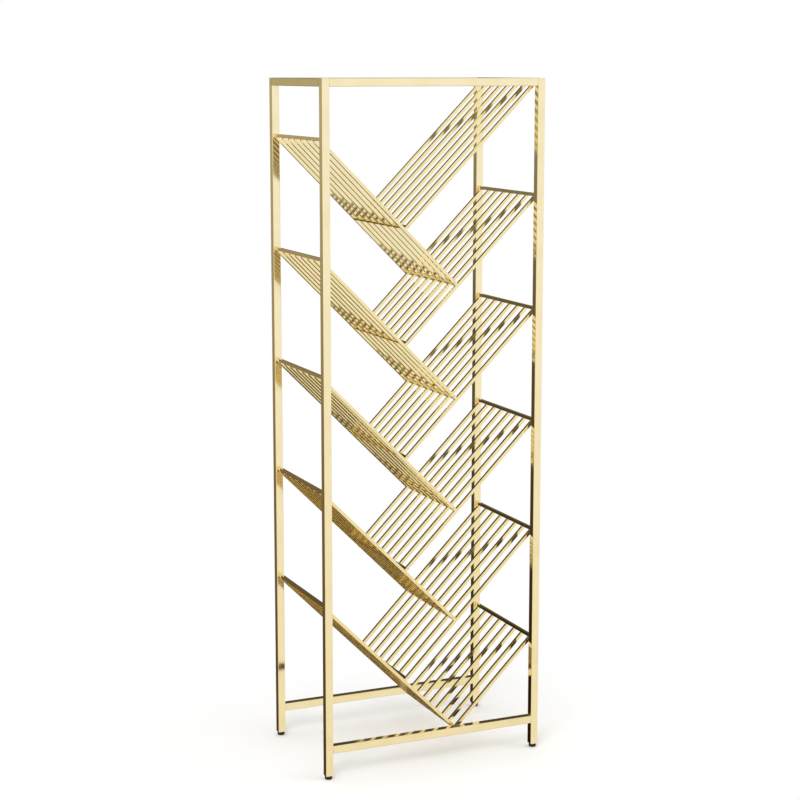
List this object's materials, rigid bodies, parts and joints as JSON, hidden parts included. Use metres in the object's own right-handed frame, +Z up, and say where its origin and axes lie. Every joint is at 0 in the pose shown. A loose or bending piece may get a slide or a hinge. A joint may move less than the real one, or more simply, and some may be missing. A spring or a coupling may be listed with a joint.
{
  "type": "bookshelf",
  "caption": "Free-standing open bookshelf of gold-plated square tube; slatted shelves slope down from both sides and meet at right angles in a herringbone, on levelling feet.",
  "frame": {"origin": "on the floor, under the middle of the frame", "axes": "+X to the right seen from the front, +Y from the front to the back, +Z up"},
  "size_m": [0.6, 0.37, 1.75],
  "materials": {
    "gold_plated_steel": "mirror-polished gold-coloured plating on steel",
    "zinc_plated_steel": "bright zinc plating",
    "black_plastic": "satin black moulded plastic"
  },
  "bodies": {
    "frame": {"post_front_left": "gold_plated_steel", "post_front_right": "gold_plated_steel", "post_rear_left": "gold_plated_steel", "post_rear_right": "gold_plated_steel", "post_top_caps": "gold_plated_steel", "top_front_rail": "gold_plated_steel", "top_rear_rail": "gold_plated_steel", "top_left_rail": "gold_plated_steel", "top_right_rail": "gold_plated_steel", "bottom_front_rail": "gold_plated_steel", "bottom_rear_rail": "gold_plated_steel", "top_shelf_slats": "gold_plated_steel", "top_shelf_end_bar": "gold_plated_steel", "left_crossbar_1": "gold_plated_steel", "left_shelf_1_slats": "gold_plated_steel", "left_shelf_1_end_bar": "gold_plated_steel", "right_crossbar_1": "gold_plated_steel", "right_shelf_1_slats": "gold_plated_steel", "right_shelf_1_end_bar": "gold_plated_steel", "left_crossbar_2": "gold_plated_steel", "left_shelf_2_slats": "gold_plated_steel", "left_shelf_2_end_bar": "gold_plated_steel", "right_crossbar_2": "gold_plated_steel", "right_shelf_2_slats": "gold_plated_steel", "right_shelf_2_end_bar": "gold_plated_steel", "left_crossbar_3": "gold_plated_steel", "left_shelf_3_slats": "gold_plated_steel", "left_shelf_3_end_bar": "gold_plated_steel", "right_crossbar_3": "gold_plated_steel", "right_shelf_3_slats": "gold_plated_steel", "right_shelf_3_end_bar": "gold_plated_steel", "left_crossbar_4": "gold_plated_steel", "left_shelf_4_slats": "gold_plated_steel", "left_shelf_4_end_bar": "gold_plated_steel", "right_crossbar_4": "gold_plated_steel", "right_shelf_4_slats": "gold_plated_steel", "right_shelf_4_end_bar": "gold_plated_steel", "left_crossbar_5": "gold_plated_steel", "left_shelf_5_slats": "gold_plated_steel", "left_shelf_5_end_bar": "gold_plated_steel", "right_crossbar_5": "gold_plated_steel", "right_shelf_5_slats": "gold_plated_steel", "right_shelf_5_end_bar": "gold_plated_steel", "foot_insert_front_left": "zinc_plated_steel", "foot_insert_front_right": "zinc_plated_steel", "foot_insert_rear_left": "zinc_plated_steel", "foot_insert_rear_right": "zinc_plated_steel"},
    "pad_front_left": {"foot_pad_front_left": "black_plastic"},
    "screw_front_left": {"foot_screw_front_left": "zinc_plated_steel"},
    "pad_front_right": {"foot_pad_front_right": "black_plastic"},
    "screw_front_right": {"foot_screw_front_right": "zinc_plated_steel"},
    "pad_rear_left": {"foot_pad_rear_left": "black_plastic"},
    "screw_rear_left": {"foot_screw_rear_left": "zinc_plated_steel"},
    "pad_rear_right": {"foot_pad_rear_right": "black_plastic"},
    "screw_rear_right": {"foot_screw_rear_right": "zinc_plated_steel"}
  },
  "joints": [
    {"name": "foot_travel_front_left", "type": "slide", "parent": "frame", "child": "pad_front_left", "axis": [0, 0, -1], "range_m": [0, 0.01]},
    {"name": "screw_turn_front_left", "type": "hinge", "parent": "pad_front_left", "child": "screw_front_left", "pos_m": [-0.29, -0.175, 0.01], "axis": [0, 0, -1], "range_deg": [0, 2880]},
    {"name": "foot_travel_front_right", "type": "slide", "parent": "frame", "child": "pad_front_right", "axis": [0, 0, -1], "range_m": [0, 0.01]},
    {"name": "screw_turn_front_right", "type": "hinge", "parent": "pad_front_right", "child": "screw_front_right", "pos_m": [0.29, -0.175, 0.01], "axis": [0, 0, -1], "range_deg": [0, 2880]},
    {"name": "foot_travel_rear_left", "type": "slide", "parent": "frame", "child": "pad_rear_left", "axis": [0, 0, -1], "range_m": [0, 0.01]},
    {"name": "screw_turn_rear_left", "type": "hinge", "parent": "pad_rear_left", "child": "screw_rear_left", "pos_m": [-0.29, 0.175, 0.01], "axis": [0, 0, -1], "range_deg": [0, 2880]},
    {"name": "foot_travel_rear_right", "type": "slide", "parent": "frame", "child": "pad_rear_right", "axis": [0, 0, -1], "range_m": [0, 0.01]},
    {"name": "screw_turn_rear_right", "type": "hinge", "parent": "pad_rear_right", "child": "screw_rear_right", "pos_m": [0.29, 0.175, 0.01], "axis": [0, 0, -1], "range_deg": [0, 2880]}
  ],
  "couplings": [
    {"joint": "screw_turn_front_left", "follows": "foot_travel_front_left", "rad_per_m": 5026.5},
    {"joint": "screw_turn_front_right", "follows": "foot_travel_front_right", "rad_per_m": 5026.5},
    {"joint": "screw_turn_rear_left", "follows": "foot_travel_rear_left", "rad_per_m": 5026.5},
    {"joint": "screw_turn_rear_right", "follows": "foot_travel_rear_right", "rad_per_m": 5026.5}
  ]
}
